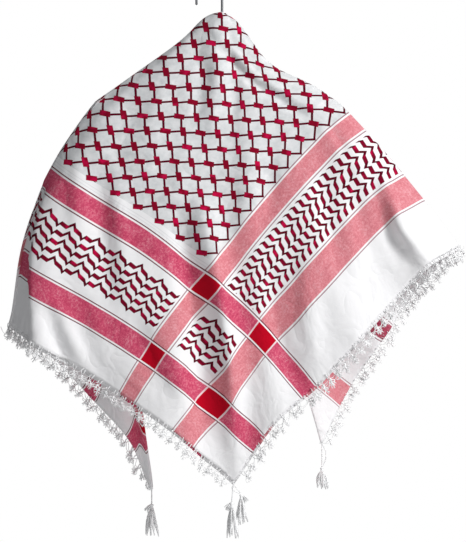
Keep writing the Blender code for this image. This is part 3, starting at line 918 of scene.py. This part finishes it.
def fine_noise(place, **settings):
    """A noise texture as a field."""
    node = place.id_data.nodes.new("ShaderNodeTexNoise")
    set_ports(node, **settings)
    place.id_data.links.new(place, node.inputs["Vector"])
    return Field(node.outputs[0])


def blend(share, below, above):
    """Colour node that lays one colour over another."""
    tree = share.socket.id_data
    node = tree.nodes.new("ShaderNodeMix")
    node.data_type = "RGBA"
    tree.links.new(share.socket, node.inputs[0])
    for port, colour in ((node.inputs[6], below), (node.inputs[7], above)):
        if isinstance(colour, tuple):
            port.default_value = (*colour, 1.0)
        else:
            tree.links.new(colour, port)
    return node.outputs[2]


def woven_colour(place, p, q, p_edge, q_edge, motifs):
    """All the yarns, laid over each other in their order."""
    in_net, net, blocks, zigzag, leaves = motifs
    p_fill, p_white, p_dark = stripe_pattern(p_edge, P_STRIPES)
    q_fill, q_white, q_dark = stripe_pattern(q_edge, Q_STRIPES)
    p_only = p_fill * (1.0 - q_fill)
    speckle = fine_noise(place, Scale=250.0, Detail=5.0, Roughness=0.85)
    patchy = fine_noise(place, Scale=60.0)
    heather = speckle * 3.6 + patchy
    worn, deep = (heather - 2.35).clamped(), (2.45 - heather).clamped()
    ribs = p_edge.beyond(RIB_START) * (p_edge - RIB_END).below(0.0) * q_edge.beyond(RIB_CROSS)
    ribs = ribs * ((p_edge * (math.tau / RIB_STEP)).sine() * 1.4 - 0.7).clamped()
    middle = FLAT_SIDE / MM / 2
    darker = p_edge.below(DARKER_END) * (middle - p).below(0.0) * (q - middle).below(0.0)

    colour = GROUND
    for share, yarn in (
            ((in_net * (patchy * 1.6 + speckle * 0.8 - 0.6)).clamped(), NET_CELL),
            (ribs * 0.55, RIB_GREY),
            (net.most(zigzag), THREAD_RED),
            (blocks, BLOCK_RED),
            (leaves, LEAF_RED),
            (blocks.most(leaves) * (patchy * 6.0 - 3.0).clamped(), BRIGHT_RED),
            (q_dark * 0.8, DARK_PINK),
            (q_white, LINE_WHITE),
            (q_fill, Q_PINK),
            (q_fill * deep * 0.75, Q_SHADE),
            (q_fill * worn * 0.45, LINE_WHITE),
            (darker * between(q_edge, *Q_STRIPES[1]) * (0.7 + deep * 0.3), DEEP_ROSE),
            (p_dark, DARK_RED),
            (p_white, LINE_WHITE),
            (p_only, P_ROSE),
            (p_only * deep * 0.9, P_SHADE),
            (p_only * worn * 0.45, LINE_WHITE),
            (p_fill * q_white * 0.7, LINE_WHITE),
            (p_fill * q_fill, CROSSING_RED)):
        colour = blend(share, colour, yarn)
    return colour


print("colours ready")

# %% Weave material
THREAD_PITCH = 1.5                # mm from thread to thread of the weave
THREAD_RISE, MOTIF_RISE, CRUMPLE_RISE, CREASE_RISE = 0.10, 0.35, 1.8, 16.0
CREASE_HALF = 0.16                # half the noise's range that a sharp little crease takes


def raised(height, strength, distance):
    """The surface direction for a height, as a socket."""
    bump = height.id_data.nodes.new("ShaderNodeBump")
    set_ports(bump, Strength=strength, Distance=distance)
    height.id_data.links.new(height, bump.inputs["Height"])
    return bump.outputs[0]


def woven_height(place, p, q, net, zigzag):
    """Threads, thicker motifs, soft crumples and sharp little creases."""
    threads = [(way * (math.tau / THREAD_PITCH)).sine() for way in (p, q)]
    crumple = fine_noise(place, Scale=55.0, Detail=3.0)
    wrinkle = fine_noise(place, Scale=17.0, Detail=2.5, Distortion=0.6)
    sharp = (wrinkle - 0.5).size().least(CREASE_HALF)
    return (threads[0] * threads[1] * THREAD_RISE + net * MOTIF_RISE + zigzag * MOTIF_RISE
            + crumple * CRUMPLE_RISE + sharp * CREASE_RISE)


def weave_material():
    paint, tree, shader = new_paint("woven_cotton")
    flat_map = tree.nodes.new("ShaderNodeUVMap")
    flat_map.uv_map = "weave"
    place = flat_map.outputs[0]
    split = tree.nodes.new("ShaderNodeSeparateXYZ")
    tree.links.new(place, split.inputs[0])
    p, q = [Field(metres) * 1000.0 for metres in split.outputs[:2]]
    side = FLAT_SIDE / MM
    p_edge, q_edge = p.least(side - p), q.least(side - q)
    in_net, net, blocks = net_and_blocks(p, q, p_edge, q_edge)
    zigzag, leaves = zigzag_panels(p, q, p_edge, q_edge)
    colour = woven_colour(place, p, q, p_edge, q_edge, (in_net, net, blocks, zigzag, leaves))
    height = woven_height(place, p, q, net, zigzag)
    set_ports(shader, Roughness=0.88, Sheen_Weight=0.03, Sheen_Roughness=0.5,
              Specular_IOR_Level=0.06)
    tree.links.new(colour, shader.inputs["Base Color"])
    tree.links.new(raised(height.socket, 0.5, 0.7 * MM), shader.inputs["Normal"])
    print("weave material:", len(tree.nodes), "nodes")
    return paint


cloth.data.materials.append(weave_material())
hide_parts("outer_layer", "inner_layer")
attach(cloth, "root")

# %% [markdown]
# ## Threads
#
# The fringe and the tassels are the ends of the cloth's own yarn: they are knotted by hand, two
# or more threads at a time.  Curves with a bevel would do for one thread, but there are thousands,
# so one small helper lays a thin tube along a few points, and everything else is built from it.

# %% A thin tube along points
def add_thread(shape, points, radii, sides=4):
    """A closed tube of the given radii along the points."""
    spoke = (points[1] - points[0]).orthogonal().normalized()
    rings = []
    for index, (point, radius) in enumerate(zip(points, radii)):
        along = points[min(index + 1, len(points) - 1)] - points[max(index - 1, 0)]
        along.normalize()
        spoke = (spoke - along * spoke.dot(along)).normalized()
        beside = along.cross(spoke)
        angles = [math.tau * side / sides for side in range(sides)]
        rings.append([shape.verts.new(point + (spoke * math.cos(angle) + beside * math.sin(angle))
                                      * radius) for angle in angles])
    for first, second in zip(rings, rings[1:]):
        for side in range(sides):
            after = (side + 1) % sides
            shape.faces.new((first[side], first[after], second[after], second[side]))
    shape.faces.new(rings[0][::-1])
    shape.faces.new(rings[-1])


YARN = 0.65 * MM                  # radius of one yarn
print("yarn %.1f mm thick" % (2 * YARN / MM))

# %% [markdown]
# ## White cotton yarn
#
# The yarn is bleached cotton, a plain and slightly bluish white.  Each yarn is plied, so a fine
# wave runs over it; at this size that is best as bump.

# %% Yarn material
def yarn_material():
    paint, tree, shader = new_paint("bleached_yarn")
    where = tree.nodes.new("ShaderNodeTexCoord")
    ply = tree.nodes.new("ShaderNodeTexWave")
    ply.bands_direction = "DIAGONAL"
    set_ports(ply, Scale=420.0, Distortion=1.5)
    tree.links.new(where.outputs["Object"], ply.inputs["Vector"])
    set_ports(shader, Base_Color=(0.94, 0.94, 0.945, 1), Roughness=0.85, Sheen_Weight=0.2,
              Specular_IOR_Level=0.2)
    tree.links.new(raised(ply.outputs["Fac"], 0.35, 0.2 * MM), shader.inputs["Normal"])
    return paint


bleached_yarn = yarn_material()
print("yarn material ready")

# %% [markdown]
# ## The knotted fringe
#
# Every few threads of the hem are tied into a small knot with a loop on either side and short cut
# ends, and a slack thread runs on to the next knot.  One knot is modelled in four versions and
# copied along the hem, each copy turned a little, which is how a patient knotter's work looks:
# even, but never twice the same.

# %% One knot of the fringe
KNOT_SPACING = 16.5 * MM
KNOT_DROP = 8.5 * MM              # from the hem to the knot
KNOT_PROFILE = (0.7, 1.9, 1.5, 2.2, 1.5, 1.9, 0.8)   # mm, with a dent for each turn of yarn
KNOT_LENGTH = 4.6 * MM
FOOT = 2.8 * MM                   # half the width at which its threads leave the hem
LOOP_STEPS = 8
CUT_ENDS = (-34, -8, 20, 41)      # degrees by which the cut ends lean
END_WIDTHS = (YARN, 1.2 * YARN, 0.7 * YARN)     # a cut end is loose in the middle
SAG = 5 * MM                      # of the slack thread to the next knot
KNOT_VERSIONS = 4


def petal(base, direction, length, width):
    """A closed loop of yarn that leaves the knot in one direction."""
    beside = direction.cross(Vector((0, 1, 0))).normalized()
    points = []
    for step in range(LOOP_STEPS + 1):
        angle = math.tau * step / LOOP_STEPS
        points.append(base + direction * length * (1 - math.cos(angle)) / 2
                      + beside * width * math.sin(angle))
    return points


def knot_version(seed):
    """One knot, hanging from the origin; the hem runs along X and the cloth faces -Y."""
    luck = random.Random(seed)
    shape = bmesh.new()
    for side in (-1, 1):
        foot = Vector((side * FOOT, 0, 2 * MM))
        bow = Vector((side * FOOT * 0.9, luck.uniform(-1, 1) * MM, -0.5 * KNOT_DROP))
        add_thread(shape, [foot, bow, Vector((0, 0, -KNOT_DROP))], [YARN] * 3)
    turns = [Vector((0, 0, -KNOT_DROP - KNOT_LENGTH * step / (len(KNOT_PROFILE) - 1)))
             for step in range(len(KNOT_PROFILE))]
    add_thread(shape, turns, [radius * MM for radius in KNOT_PROFILE], 6)
    base = turns[4]
    for side in (-1, 1):
        lean = side * math.radians(luck.uniform(48, 95))
        direction = Vector((math.sin(lean), luck.uniform(-0.5, 0.1), -math.cos(lean))).normalized()
        add_thread(shape, petal(base, direction, luck.uniform(6.0, 8.5) * MM,
                                luck.uniform(1.7, 2.6) * MM), [YARN] * (LOOP_STEPS + 1))
    for lean in CUT_ENDS:
        angle = math.radians(lean + luck.uniform(-8, 8))
        end = Vector((math.sin(angle), luck.uniform(-0.35, 0.25), -math.cos(angle)))
        length = luck.uniform(5.0, 8.5) * MM
        curl = Vector((luck.uniform(-1, 1), luck.uniform(-1, 1), 0)) * 1.2 * MM
        root = turns[-1]
        points = [root, root + end * length * 0.5 + curl, root + end * length]
        add_thread(shape, points, END_WIDTHS)
    slack = [Vector((share * KNOT_SPACING, 0.6 * MM * math.sin(share * 9),
                     -KNOT_DROP * (0.95 - 0.8 * share) - SAG * math.sin(math.pi * share)))
             for share in (0, 0.2, 0.4, 0.6, 0.8, 1.0)]
    add_thread(shape, slack, [0.8 * YARN] * 6)
    return finished(shape, "knot_%d" % seed)


knots = [knot_version(seed) for seed in range(1, KNOT_VERSIONS + 1)]
print("knot:", len(knots[0].polygons), "faces")

# %% Places along a hem
HEM_SAMPLES = 12                  # to each line of the fan
FRINGE_AWAY = 0.6                 # how far the fringe follows the cloth rather than its weight
FRINGE_LEAN = 0.7                 # how far it is turned square to a sloping hem


def hem_frames(layer_point, extra_of, first, last, spacing):
    """Evenly spaced places on a hem, as matrices: X along the hem and Z up the cloth."""
    count = round((last - first) * HEM_SAMPLES)
    places = [first + (last - first) * index / count for index in range(count + 1)]
    points = [layer_point(place, 1.0) for place in places]
    frames, travelled, due = [], 0.0, spacing * 0.5
    for index in range(count):
        step = points[index + 1] - points[index]
        while travelled + step.length >= due:
            share = (due - travelled) / step.length
            place = mix(places[index], places[index + 1], share)
            frames.append(hem_frame(points[index] + step * share, step.normalized(),
                                    cloth_axes(place, 1.0, extra_of(place))[2]))
            due += spacing
        travelled += step.length
    return frames


def hem_frame(point, along, down):
    away = (down - along * down.dot(along)).normalized()
    hang = (away * FRINGE_AWAY - Vector((0, 0, 1 - FRINGE_AWAY))).normalized()
    up = -(hang - along * hang.dot(along) * FRINGE_LEAN).normalized()
    through = up.cross(along).normalized()
    side = through.cross(up)
    frame_here = Matrix((side, through, up)).transposed().to_4x4()
    frame_here.translation = point
    return frame_here


def no_extra(place):
    return 0.0


print("a knot every %.1f mm" % (KNOT_SPACING / MM))


# %% Knot the four hems
def knotted_hem(name, layer_point, extra_of, first, last, seed):
    luck = random.Random(seed)
    shape = bmesh.new()
    frames = hem_frames(layer_point, extra_of, first, last, KNOT_SPACING)
    for frame_here in frames:
        before = len(shape.verts)
        shape.from_mesh(luck.choice(knots))
        shape.verts.ensure_lookup_table()
        swing = Matrix.Rotation(math.radians(luck.uniform(-16, 16)), 4, "Y")
        twist = Matrix.Rotation(math.radians(luck.uniform(-24, 24)), 4, "Z")
        size = Matrix.Diagonal((1, 1, luck.uniform(0.82, 1.08), 1))
        move = frame_here @ swing @ twist @ size
        bmesh.ops.transform(shape, matrix=move, verts=shape.verts[before:])
    fringe = placed(finished(shape, name))
    fringe.data.materials.append(bleached_yarn)
    print(name, len(frames), "knots,", len(fringe.data.polygons), "faces")
    return fringe


CORNER_GAP = 0.12                 # lines of the fan left free at each corner, for the tassels
LEFT_HEM = (CORNER_GAP, FRONT_CORNER - CORNER_GAP)
RIGHT_HEM = (FRONT_CORNER + CORNER_GAP, LAST - CORNER_GAP)
HEMS = (
    # name, layer, its extra length, first and last line, the solid it stands for
    ("front_fringe_left", outer_point, no_extra, *LEFT_HEM, "fringe_outer_left"),
    ("front_fringe_right", outer_point, no_extra, *RIGHT_HEM, "fringe_outer_right"),
    ("back_fringe_left", inner_point, inner_extra, *LEFT_HEM, "fringe_inner_left"),
    ("back_fringe_right", inner_point, inner_extra, *RIGHT_HEM, "fringe_inner_right"),
)
for seed, (name, layer_point, extra_of, first, last, solid) in enumerate(HEMS):
    fringe = knotted_hem(name, layer_point, extra_of, first, last, seed)
    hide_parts(solid)
    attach(fringe, "root")

# %% [markdown]
# ## Tassels
#
# A tassel hangs from each corner of the square; two corners lie on each other in front, so there
# are four.  Each has a plied cord, a head that is bound round with yarn, and a skirt whose
# strands part into a few wisps.  A tuft of cut ends stands out beside some of the heads.

# %% Tassel sizes
Tassel = namedtuple("Tassel", "name place layer cord head skirt head_radius skirt_radius "
                              "lean_x lean_y tuft bow wisps")
TASSELS = [Tassel(*row) for row in (
    # sizes in mm; tuft and bow are to the left (-1), to the right (1) or absent (0)
    ("tassel_left_end", 0, outer_point, 24, 9, 52, 3.6, 12.5, 0, 0, -1, 0, 7),
    ("tassel_front_outer", FRONT_CORNER, outer_point, 30, 10, 52, 3.6, 11.0, -3, -3, -1, 0, 7),
    ("tassel_front_inner", FRONT_CORNER, inner_point, 14, 9, 44, 3.2, 10.0, 13, 3, 1, -1, 6),
    ("tassel_right_end", LAST, outer_point, 40, 8, 31, 3.4, 14.0, 0, 0, 0, 1, 10),
)]
STRANDS_PER_WISP = 20
PLY_PITCH = 5 * MM
PLY_STEPS = 6                     # for each turn
BOW_REACH = 7 * MM
TUFT_ENDS = 16
HEAD_PROFILE = (                  # drop and width, as shares of the head's length and radius
    (0.0, 0.35), (0.14, 0.95), (0.3, 1.0), (0.42, 0.72), (0.52, 0.82), (0.62, 0.68), (0.72, 0.8),
    (0.82, 0.7), (1.0, 0.95))
STRAND_WIDTHS = (1, 1.1, 1.1, 1.1, 1.0, 0.9, 0.5)
print(len(TASSELS), "tassels")


# %% Cord, head and skirt
def plied_cord(shape, start, end, bow):
    """Two yarns wound round each other; bow pushes the middle to one side."""
    steps = max(round((start - end).length / (PLY_PITCH / PLY_STEPS)), PLY_STEPS)
    for ply in (0, math.pi):
        points = []
        for step in range(steps + 1):
            share = step / steps
            angle = ply + math.tau * share * (start - end).length / PLY_PITCH
            round_it = Vector((math.cos(angle), math.sin(angle), 0)) * 0.9 * YARN
            side = Vector((bow * math.sin(math.pi * share), 0, 0))
            points.append(mix(start, end, share) + round_it + side)
        add_thread(shape, points, [YARN] * len(points))


def bound_head(shape, top, spec):
    """The wrapped neck of the tassel, narrow where the yarn is wound tightest."""
    points = [top - Vector((0, 0, spec.head * drop * MM)) for drop, _ in HEAD_PROFILE]
    add_thread(shape, points, [spec.head_radius * width * MM for _, width in HEAD_PROFILE], 10)
    return points[-2]


def skirt(shape, waist, spec, luck):
    """Strands that part into wisps; a wisp is full in the middle and thin at its end."""
    for wisp in range(spec.wisps):
        angle = math.tau * (wisp + luck.uniform(-0.3, 0.3)) / spec.wisps
        outwards = Vector((math.cos(angle), 0.8 * math.sin(angle), 0))
        reach = spec.skirt_radius * luck.uniform(0.45, 1.0) * MM
        length = spec.skirt * luck.uniform(0.86, 1.0) * MM
        bend = Vector((luck.uniform(-1, 1), luck.uniform(-1, 1), 0)) * 2.2 * MM
        for _ in range(STRANDS_PER_WISP):
            own = luck.uniform(0, math.tau)
            own_side = Vector((math.cos(own), math.sin(own), 0))
            own_length = length * luck.uniform(0.93, 1.0)
            points = []
            for step in range(len(STRAND_WIDTHS)):
                share = step / (len(STRAND_WIDTHS) - 1)
                full = 0.4 + 1.7 * math.sin(math.pi * min(share * 0.95 + 0.06, 1.0))
                middle = outwards * (spec.head_radius * 0.5 * MM * (1 - share)
                                     + reach * share ** 0.8)
                points.append(waist + middle + own_side * full * MM * luck.uniform(0.8, 1.1)
                              + bend * math.sin(math.pi * share * 1.3)
                              - Vector((0, 0, own_length * share)))
            add_thread(shape, points, [YARN * width for width in STRAND_WIDTHS], 3)


def side_tuft(shape, root, side, luck):
    """Cut ends that stand out beside the head."""
    for _ in range(TUFT_ENDS):
        length = luck.uniform(11, 15) * MM
        tilt = math.radians(luck.uniform(15, 62))
        out = Vector((side * math.sin(tilt), luck.uniform(-0.35, 0.35), -math.cos(tilt)))
        sag = Vector((0, 0, -luck.uniform(1, 3) * MM))
        points = [root, root + out * length * 0.55, root + out * length + sag]
        add_thread(shape, points, END_WIDTHS, 3)


print("tassel helpers ready")


# %% Tie the tassels
HEM_GAP = 0.8 * MM
CORD_START = 3 * MM               # the cord starts this much above the corner


def tie_tassel(spec, seed):
    luck = random.Random(seed)
    corner = spec.layer(spec.place, 1.0) - Vector((0, 0, HEM_GAP))
    neck = corner + Vector((spec.lean_x, spec.lean_y, -spec.cord)) * MM
    shape = bmesh.new()
    plied_cord(shape, corner + Vector((0, 0, CORD_START)), neck, 0.0)
    if spec.bow:
        plied_cord(shape, corner, neck, spec.bow * BOW_REACH)
    waist = bound_head(shape, neck, spec)
    skirt(shape, waist, spec, luck)
    if spec.tuft:
        side_tuft(shape, neck, spec.tuft, luck)
    tassel = placed(finished(shape, spec.name + "_strands"))
    tassel.data.materials.append(bleached_yarn)
    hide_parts(spec.name)
    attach(tassel, "root")
    print(tassel.name, len(tassel.data.polygons), "faces")
    return tassel


tassels = [tie_tassel(spec, seed) for seed, spec in enumerate(TASSELS)]

# %% [markdown]
# ## The hanger
#
# Only the hook's wire shows above the cloth; the arms hold it up from inside.  The hook is
# drawn steel, dark, with a rounded tip.  The arms are a plain moulded rod with a boss that takes
# the hook's stem.  Both have one even colour.  Rods are quickest as curves with a bevel, because
# the ends can be rounded by the radius of the last points.

# %% Dark steel and black plastic
def even_finish(name, colour, metallic):
    paint, _, shader = new_paint(name)
    set_ports(shader, Base_Color=(*colour, 1), Metallic=metallic)
    return paint


steel = even_finish("dark_steel_wire", (0.20, 0.205, 0.215), 1.0)
plastic = even_finish("black_moulded", (0.07, 0.07, 0.075), 0.0)
print("hanger finishes ready")

# %% Rods with rounded ends
ROUND_ANGLES = (12, 35, 62)       # degrees round the ball that closes an end


def rounded_ends(points, radius):
    """More points at both ends, with widths that close them like a ball."""
    first, last = points[0], points[-1]
    head = (points[1] - first).normalized() * radius
    tail = (points[-2] - last).normalized() * radius
    angles = [math.radians(angle) for angle in ROUND_ANGLES]
    start = [(first + head * (1 - math.cos(angle)), math.sin(angle)) for angle in angles]
    end = [(last + tail * (1 - math.cos(angle)), math.sin(angle)) for angle in angles[::-1]]
    return start + [(point, 1.0) for point in (first + head, *points[1:-1], last + tail)] + end


def rod(name, points, radius):
    curve = bpy.data.curves.new(name, "CURVE")
    curve.dimensions = "3D"
    curve.bevel_depth = radius
    curve.bevel_resolution = 5
    curve.use_fill_caps = True
    line = curve.splines.new("POLY")
    stops = rounded_ends(points, radius)
    line.points.add(len(stops) - 1)
    for target, (point, width) in zip(line.points, stops):
        target.co = (*point, 1.0)
        target.radius = width
    return placed(curve)


print("rods ready")

# %% Hook, arms and boss
HOOK_RADIUS = 21 * MM             # of the wire's centre line
WIRE_RADIUS = 2 * MM
HOOK_CENTRE = Vector((0, 0, WIRE_RADIUS - HOOK_RADIUS))
HOOK_TIP_DROP = 10 * MM
HOOK_STEPS = 40
STEM_GAP = 0.3 * MM               # between the hook's stem and the boss
ROD_RADIUS = 4.5 * MM
ROD_TOP_DROP = 47 * MM
ARM_BEND = 0.03                   # share of an arm that the bend in the middle takes
ARMS = ((-184 * MM, math.radians(30.3)), (192 * MM, math.radians(34.0)))
BOSS_RADIUS = 7 * MM
BOSS_TOP = NECK.z - 20 * MM
BOSS_SIDES = 32
ROD_OVERLAP = 2.4 * MM            # the boss reaches this far below the top of the rod
RING_APART = 0.001 * MM
BOSS_PROFILE = (                  # width and drop, as shares of the radius and the height
    (0.30, 0.0), (0.70, 0.0), (0.80, 0.06), (0.80, 0.30), (0.74, 0.34), (0.74, 0.42),
    (0.90, 0.48), (1.0, 0.80), (1.0, 0.94), (0.9, 1.0))

bend = [HOOK_CENTRE + HOOK_RADIUS * Vector((math.cos(angle), 0, math.sin(angle)))
        for angle in (math.pi * step / HOOK_STEPS for step in range(HOOK_STEPS + 1))]
hook = rod("steel_hook", [Vector((HOOK_RADIUS, 0, BOSS_TOP + STEM_GAP)), *bend,
                          bend[-1] - Vector((0, 0, HOOK_TIP_DROP))], WIRE_RADIUS)
hook.data.materials.append(steel)

arm_middle = Vector((NECK.x, 0, NECK.z - ROD_TOP_DROP))
left_end, right_end = [arm_middle + Vector((reach, 0, -abs(reach) * math.tan(slope)))
                       for reach, slope in ARMS]
arms = rod("hanger_arms", [left_end, mix(arm_middle, left_end, ARM_BEND),
                           mix(arm_middle, right_end, ARM_BEND), right_end], ROD_RADIUS)
arms.data.materials.append(plastic)

boss_bottom = arm_middle.z + ROD_RADIUS - ROD_OVERLAP
boss_shape = bmesh.new()
add_thread(boss_shape, [Vector((NECK.x, 0, mix(BOSS_TOP, boss_bottom, drop) - RING_APART * index))
                        for index, (_, drop) in enumerate(BOSS_PROFILE)],
           [BOSS_RADIUS * width for width, _ in BOSS_PROFILE], BOSS_SIDES)
boss = placed(finished(boss_shape, "hanger_socket"))
boss.data.materials.append(plastic)

for piece, solid, finish in ((hook, "hook", "dark_steel"), (arms, "hanger_rod", "black_plastic"),
                             (boss, "hanger_boss", "black_plastic")):
    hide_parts(solid)
    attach(piece, "root")
print("hanger dressed")
